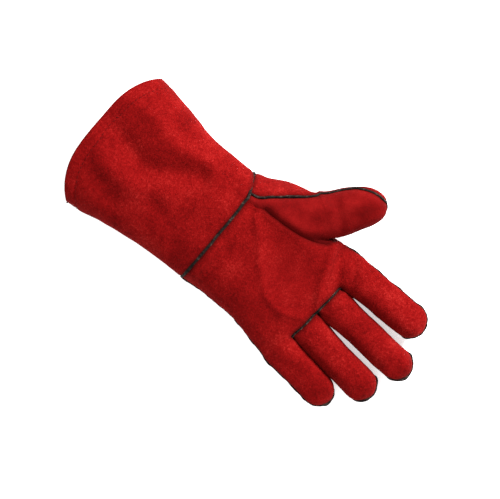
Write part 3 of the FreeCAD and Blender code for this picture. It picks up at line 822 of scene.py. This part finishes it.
def shaded(tree, fac, shades):
    """Colours along a pattern: (place, colour) stops."""
    ramp = tree.nodes.new("ShaderNodeValToRGB")
    tree.links.new(fac, ramp.inputs["Fac"])
    stops = ramp.color_ramp.elements
    while len(stops) < len(shades):
        stops.new(0.5)
    for stop, (place, colour) in zip(stops, shades):
        stop.position = place
        stop.color = (*colour, 1)
    return ramp.outputs["Color"]


def raised(tree, shader, height, depth):
    """Gives the surface a relief of so many metres."""
    relief = tree.nodes.new("ShaderNodeBump")
    relief.inputs["Distance"].default_value = depth
    tree.links.new(height, relief.inputs["Height"])
    tree.links.new(relief.outputs["Normal"], shader.inputs["Normal"])


def new_finish(name, roughness, sheen=0.0, specular=0.3):
    """A material, with its nodes, its shader and the place on the object that patterns follow."""
    finish = bpy.data.materials.new(name)
    finish.use_nodes = True
    tree = finish.node_tree
    shader = tree.nodes["Principled BSDF"]
    shader.inputs["Roughness"].default_value = roughness
    shader.inputs["Specular IOR Level"].default_value = specular
    shader.inputs["Sheen Weight"].default_value = sheen
    shader.inputs["Sheen Roughness"].default_value = 0.45
    place = tree.nodes.new("ShaderNodeTexCoord").outputs["Object"]
    return finish, tree, shader, place


def darker_where(tree, colour, name, share, shade):
    """Mixes a darker shade in where a painted attribute of the mesh says."""
    painted = tree.nodes.new("ShaderNodeAttribute")
    painted.attribute_name = name
    much = blended(tree, [(painted.outputs["Fac"], share)])
    mixed = tree.nodes.new("ShaderNodeMix")
    mixed.data_type = "RGBA"
    tree.links.new(much, mixed.inputs["Factor"])
    tree.links.new(colour, mixed.inputs["A"])
    mixed.inputs["B"].default_value = (*shade, 1)
    return mixed.outputs["Result"]


suede, tree, shader, place = new_finish("red_split_suede", 0.95, sheen=0.06, specular=0.03)
shader.inputs["Sheen Tint"].default_value = (1, 0.12, 0.1, 1)
patches = clouds(tree, place, 34, 4, 0.62)
mottle = clouds(tree, place, 400, 4, 0.7, 0.6)
nap = clouds(tree, place, 1100, 3, 0.75, 0.8)
colour = shaded(
    tree,
    blended(tree, [(patches, 0.28), (mottle, 0.28), (nap, 0.44)]),
    [
        (0.39, (0.068, 0.0009, 0.0010)),
        (0.47, (0.130, 0.0017, 0.0018)),
        (0.54, (0.182, 0.0032, 0.0031)),
        (0.64, (0.310, 0.0170, 0.0140)),
    ],
)
# Painted shade: the suede is darkened along the seams' furrows, where shadow falls.
colour = darker_where(tree, colour, "painted_seam_shade", 0.75, (0.040, 0.001, 0.001))
colour = darker_where(tree, colour, "rubbed", 0.4, (0.125, 0.0018, 0.002))
tree.links.new(colour, shader.inputs["Base Color"])
raised(tree, shader, blended(tree, [(mottle, 0.6), (nap, 0.4)]), 0.0011)

smooth_hide, tree, shader, place = new_finish("smooth_red_leather", 0.82, specular=0.035)
patches = clouds(tree, place, 45, 4, 0.6)
creases = clouds(tree, place, 420, 3, 0.7, 1.2)
colour = shaded(
    tree,
    blended(tree, [(patches, 0.7), (creases, 0.3)]),
    [
        (0.35, (0.080, 0.0011, 0.0012)),
        (0.5, (0.128, 0.0018, 0.0019)),
        (0.66, (0.180, 0.0040, 0.0038)),
    ],
)
# Painted shade: the smooth hide is darkened along the seams' furrows, where shadow falls.
colour = darker_where(tree, colour, "painted_seam_shade", 0.5, (0.040, 0.001, 0.001))
tree.links.new(colour, shader.inputs["Base Color"])
raised(tree, shader, creases, 0.0004)

FINISHES = {"split_leather": suede, "smooth_leather": smooth_hide}


def applied(mesh, *changes):
    """The mesh after modifiers, each given as a kind and its settings."""
    holder = bpy.data.objects.new("applying", mesh)
    scene.collection.objects.link(holder)
    for number, (kind, settings) in enumerate(changes):
        change = holder.modifiers.new(f"change_{number}", kind)
        for setting, value in settings.items():
            setattr(change, setting, value)
    seen = holder.evaluated_get(bpy.context.evaluated_depsgraph_get())
    result = bpy.data.meshes.new_from_object(seen)
    bpy.data.objects.remove(holder)
    return result


def finished(name, mesh, slot):
    """A piece, smooth but for its edges, in the finish of its material slot."""
    mesh.materials.clear()
    mesh.materials.append(FINISHES[slot])
    for face in mesh.polygons:
        face.material_index = 0
    mesh.shade_smooth()
    mesh.set_sharp_from_angle(angle=math.radians(EDGE_ANGLE))
    piece = bpy.data.objects.new(name, mesh)
    scene.collection.objects.link(piece)
    return piece


def cut_out(shape, pieces, number):
    """One piece of leather cut from a sculpted skin, with its sewn edges turned in."""
    panels = [PANEL[piece] for piece in pieces]
    own = panels[number]
    work = shape.copy()
    work.normal_update()
    moves = {}
    for edge in work.edges:
        if is_seam(edge, panels):
            met = {panels[face.material_index] for face in edge.link_faces}
            away, sunk = PLAIN_EDGE
            if met == {"palm", "thumb"}:
                away, sunk = 0, THUMB_ROOT_SUNK * smoothly((edge.verts[0].co.y / MM - 12) / 12)
            elif edge.is_boundary:
                away, sunk = WRIST_EDGE_OF_HAND if pieces is PIECES else WRIST_EDGE_OF_CUFF
            elif pieces is CUFF_PIECES:
                open_share = smoothly((from_the_mouth(edge.verts[0].co / MM) - 9) / 7)
                away, sunk = away * open_share, sunk * open_share
            for vertex in edge.verts:
                if vertex in moves and away:
                    continue
                near = [f for f in vertex.link_faces if panels[f.material_index] == own]
                if near:
                    towards = sum((f.calc_center_median() for f in near), Vector()) / len(near)
                    towards -= vertex.co
                    towards -= vertex.normal * towards.dot(vertex.normal)
                    moves[vertex] = towards.normalized() * away - vertex.normal * sunk
    for vertex, move in moves.items():
        vertex.co += move * MM
    others = [f for f in work.faces if f.material_index != number]
    bmesh.ops.delete(work, geom=others, context="FACES")
    mesh = mesh_of(work, pieces[number])
    work.free()
    return mesh


wall = ("SOLIDIFY", dict(thickness=LEATHER * MM, offset=-1, use_rim=True))
for shape, pieces in ((hand_shape, PIECES), (cuff_shape, CUFF_PIECES)):
    for number, name in enumerate(pieces):
        smooth = PANEL[name] == "thumb"
        mesh = applied(cut_out(shape, pieces, number), wall)
        slot = "smooth_leather" if smooth else "split_leather"
        piece = finished(f"{name}_sewn", mesh, slot)
        if name == "thumb_root_front":
            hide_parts("palm_leather")
        else:
            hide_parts(name)
        if name == "hem_facing":
            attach(piece, "cuff")
        else:
            follow(piece)

# ------------------------------------------------------------------ welts
# Strips of dark leather are sewn into the seams to guard the thread. Their raw cut edges stand
# a millimetre or two out of the furrows, and hardly at all between the fingers.

welt_hide, tree, shader, place = new_finish("dark_welt_leather", 0.85, specular=0.08)
streaks = clouds(tree, place, 260, 4, 0.7, 0.5)
colour = shaded(
    tree,
    streaks,
    [
        (0.35, (0.0040, 0.0024, 0.0022)),
        (0.54, (0.0120, 0.0075, 0.0062)),
        (0.70, (0.0620, 0.0420, 0.0340)),
    ],
)
tree.links.new(colour, shader.inputs["Base Color"])
raised(tree, shader, streaks, 0.0005)
FINISHES["welt_leather"] = welt_hide

WELT_ROOT = 1.6
WELT_BEVEL = 0.35
WELT_THICK = 1.7
OTHER_THICK = {"wrist_welt": 2.5, "finger_base_welt": 1.2}
# How far the welts stand out of their seams.
STANDS = 1.4
OTHER_STANDS = {"finger_base_welt": 0.8, "wrist_welt": 1.2, "hand_side_welt": 1.5}
OUTER_FINGER_STANDS = 1.7
INNER_FINGER_STANDS = 0.15
FINGERTIP_STANDS = 2.3
CUFF_STANDS = 0.15
SUNK_AT_MOUTH = -1.3
SUNK_AT_CROTCH = 2.6
CROTCH_REACH = 11
THUMB_CROTCH = Vector((-59, 89, 22))


def welt_body(edge, pieces):
    """The body that the welt in an edge belongs to."""
    bodies = sorted(BODY[pieces[face.material_index]] for face in edge.link_faces)
    return "hand" if "hand" in bodies else bodies[0]


def welt_stands(name, place):
    """How far a welt stands out: more at the fingertips and the outer sides of the hand."""
    finger = name.split("_")[0]
    if finger in FINGERS:
        size = FINGERS[finger]
        reach = place.y - WEB
        outer = (finger == "index" and place.x < size["x"] - 8) or (
            finger == "little" and place.x > size["x"] + 8
        )
        at_tip = smoothly((reach - size["length"] * 0.84) / (size["length"] * 0.1))
        along = OUTER_FINGER_STANDS if outer else INNER_FINGER_STANDS
        return max(along, FINGERTIP_STANDS * at_tip)
    if name == "cuff_side_welt":
        return mix(SUNK_AT_MOUTH, CUFF_STANDS, smoothly((place.y + 113) / 8))
    stands = OTHER_STANDS.get(name, STANDS)
    return stands - SUNK_AT_CROTCH * bump_at((place - THUMB_CROTCH).length, CROTCH_REACH)


def welt(shape, chosen, name, thick):
    """A strip that stands in the chosen seam edges."""
    work = shape.copy()
    work.normal_update()
    work.edges.ensure_lookup_table()
    kept = [work.edges[number] for number in chosen]
    up = {v: v.normal.copy() for e in kept for v in e.verts}
    bmesh.ops.delete(work, geom=list(work.faces), context="FACES_ONLY")
    seam = set(kept)
    spare = [e for e in work.edges if e not in seam]
    bmesh.ops.delete(work, geom=spare, context="EDGES")
    loose = [v for v in work.verts if not v.link_edges]
    bmesh.ops.delete(work, geom=loose, context="VERTS")
    made = bmesh.ops.extrude_edge_only(work, edges=list(work.edges))
    fresh = [v for v in made["geom"] if isinstance(v, bmesh.types.BMVert)]
    for vertex in fresh:
        root = next(v for v in (e.other_vert(vertex) for e in vertex.link_edges) if v in up)
        spot = root.co / MM
        lean = noise.noise_vector(spot / 11) * 0.7
        vertex.co = root.co + (up[root] * welt_stands(name, spot) + lean) * MM
    for vertex, normal in up.items():
        vertex.co -= normal * WELT_ROOT * MM
    bmesh.ops.recalc_face_normals(work, faces=work.faces)
    mesh = mesh_of(work, name)
    work.free()
    strip = ("SOLIDIFY", dict(thickness=thick * MM, offset=0, use_rim=True))
    rounded = ("BEVEL", dict(width=WELT_BEVEL * MM, segments=2, limit_method="ANGLE"))
    return applied(mesh, strip, rounded)


WELT_NAMES = {"hand": "hand_side_welt", "cuff": "cuff_side_welt"}
for shape, pieces in ((hand_shape, PIECES), (cuff_shape, CUFF_PIECES)):
    panels = [PANEL[piece] for piece in pieces]
    groups = {}
    shape.edges.ensure_lookup_table()
    for edge in shape.edges:
        if edge.is_boundary:
            if shape is hand_shape:
                groups.setdefault("wrist_welt", []).append(edge.index)
            continue
        met = frozenset(panels[face.material_index] for face in edge.link_faces)
        if len(met) < 2 or met == {"palm", "thumb"} or "facing" in met:
            continue
        body = welt_body(edge, pieces)
        if met in ({"palm", "middle"}, {"palm", "ring"}):
            groups.setdefault("finger_base_welt", []).append(edge.index)
        else:
            groups.setdefault(WELT_NAMES.get(body, f"{body}_welt"), []).append(edge.index)
    for name, chosen in groups.items():
        thick = OTHER_THICK.get(name, WELT_THICK)
        piece = finished(f"{name}_sewn", welt(shape, chosen, name, thick), "welt_leather")
        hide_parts(name)
        if name == "finger_base_welt":
            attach(piece, "hand")
        else:
            body = "cuff" if name == "cuff_side_welt" else name.removesuffix("_welt")
            follow(piece)

# ------------------------------------------------------------------ linings
# The hand is lined with cream fleece, and the cuff with unbleached cotton canvas, both cut like
# the leather and sewn into its seams. They are offset from its skin, just inside its inner face.

fleece, tree, shader, place = new_finish("cream_fleece", 0.95, sheen=0.4, specular=0.1)
curls = clouds(tree, place, 320, 4, 0.7, 1.5)
colour = shaded(tree, curls, [(0.3, (0.30, 0.26, 0.19)), (0.7, (0.58, 0.53, 0.43))])
tree.links.new(colour, shader.inputs["Base Color"])
raised(tree, shader, curls, 0.0016)
FINISHES["fleece_lining"] = fleece

canvas, tree, shader, place = new_finish("cotton_canvas", 0.9, sheen=0.15, specular=0.1)
threads = []
for direction in ("X", "Y", "Z"):
    thread = tree.nodes.new("ShaderNodeTexWave")
    thread.bands_direction = direction
    thread.inputs["Scale"].default_value = 210
    thread.inputs["Distortion"].default_value = 1.2
    thread.inputs["Detail"].default_value = 1
    tree.links.new(place, thread.inputs["Vector"])
    threads.append(thread.outputs["Fac"])
slubs = clouds(tree, place, 150, 3, 0.6)
weave = blended(tree, [(threads[0], 0.22), (threads[1], 0.22), (threads[2], 0.16), (slubs, 0.4)])
colour = shaded(tree, weave, [(0.25, (0.26, 0.22, 0.15)), (0.75, (0.46, 0.41, 0.31))])
tree.links.new(colour, shader.inputs["Base Color"])
raised(tree, shader, weave, 0.0003)
FINISHES["canvas_lining"] = canvas


FLEECE = 1.5
FLEECE_GAP = 0.8
CANVAS = 1.2
CANVAS_GAP = 0.2
CANVAS_ENDS = 4


def inner_layer(skin, chosen, depth, name):
    """A layer of cloth so far inside a skin, over the chosen faces."""
    work = skin.copy()
    work.normal_update()
    others = [f for f in work.faces if not chosen(f)]
    for vertex in work.verts:
        vertex.co -= vertex.normal * depth * MM
    bmesh.ops.delete(work, geom=others, context="FACES")
    inner = [v for v in work.verts if not v.is_boundary]
    for _ in range(2):
        bmesh.ops.smooth_vert(
            work, verts=inner, factor=0.5, use_axis_x=True, use_axis_y=True, use_axis_z=True
        )
    mesh = mesh_of(work, name)
    work.free()
    return mesh


cloth = ("SOLIDIFY", dict(thickness=FLEECE * MM, offset=-1, use_rim=True))
inner_hand = sculpted(subdivided(hand_cage, 2), PIECES, HAND_FOLDS)
for body in dict.fromkeys(BODY[piece] for piece in PIECES):

    def on_body(face, body=body):
        return BODY[PIECES[face.material_index]] == body

    name = f"{body}_lining"
    mesh = applied(inner_layer(inner_hand, on_body, LEATHER + FLEECE_GAP, name), cloth)
    piece = finished(f"{name}_sewn", mesh, "fleece_lining")
    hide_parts(name)
    follow(piece)


def short_of_the_fold(face):
    """Whether a face of the cuff lies clear of the folded edge."""
    spot = face.calc_center_median() / MM
    return face.material_index < 2 and from_the_mouth(spot) > CANVAS_ENDS


cloth = ("SOLIDIFY", dict(thickness=CANVAS * MM, offset=-1, use_rim=True))
inner_cuff = sculpted(subdivided(cuff_cage, 2), CUFF_PIECES, CUFF_FOLDS)
layer = inner_layer(inner_cuff, short_of_the_fold, LEATHER + CANVAS_GAP, "cuff_lining")
mesh = applied(layer, cloth)
piece = finished("cuff_lining_sewn", mesh, "canvas_lining")
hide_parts("cuff_lining")
follow(piece)

# ------------------------------------------------------------------ stitches of the hem
# Heavy red thread, in stitches of about 3 mm, holds the turned-in edge of the cuff all round.

thread, tree, shader, place = new_finish("red_thread", 0.8, specular=0.05)
twist = tree.nodes.new("ShaderNodeTexWave")
twist.bands_direction = "DIAGONAL"
twist.inputs["Scale"].default_value = 900
tree.links.new(place, twist.inputs["Vector"])
colour = shaded(
    tree, twist.outputs["Fac"], [(0.2, (0.060, 0.0015, 0.0016)), (0.8, (0.130, 0.0035, 0.0035))]
)
tree.links.new(colour, shader.inputs["Base Color"])
FINISHES["hem_thread"] = thread

STITCH = 3.2
STITCH_PITCH = 4.6
THREAD_RADIUS = 0.42
THREAD_LIFT = 0.1
STEPS_ROUND = 720
stitch_row = list(CUFF_ROWS[-1])
stitch_row[0] = MOUTH_MIDDLE + HEM_LINE
surface = BVHTree.FromBMesh(cuff_shape)
walk = []
for step in range(STEPS_ROUND + 1):
    near = cuff_point(stitch_row, step * 360 / STEPS_ROUND % 360, 0, 0.5) * MM
    spot, normal, _, _ = surface.find_nearest(near)
    walk.append((spot, normal))
stitches = bmesh.new()
gone, due = 0, STITCH_PITCH / 2
for (here, up), (there, _) in zip(walk, walk[1:]):
    gone += (there - here).length / MM
    if gone >= due:
        due += STITCH_PITCH
        along = (there - here).normalized()
        across = up.cross(along).normalized()
        turned = Matrix((along, across, up)).transposed().to_4x4()
        sized = Matrix.Diagonal((STITCH / 2 * MM, THREAD_RADIUS * MM, THREAD_RADIUS * MM, 1))
        placed = Matrix.Translation(here + up * THREAD_LIFT * MM) @ turned @ sized
        bmesh.ops.create_uvsphere(stitches, u_segments=8, v_segments=6, radius=1, matrix=placed)
piece = finished("hem_stitching_sewn", mesh_of(stitches, "hem_stitching"), "hem_thread")
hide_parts("hem_stitching")
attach(piece, "cuff")
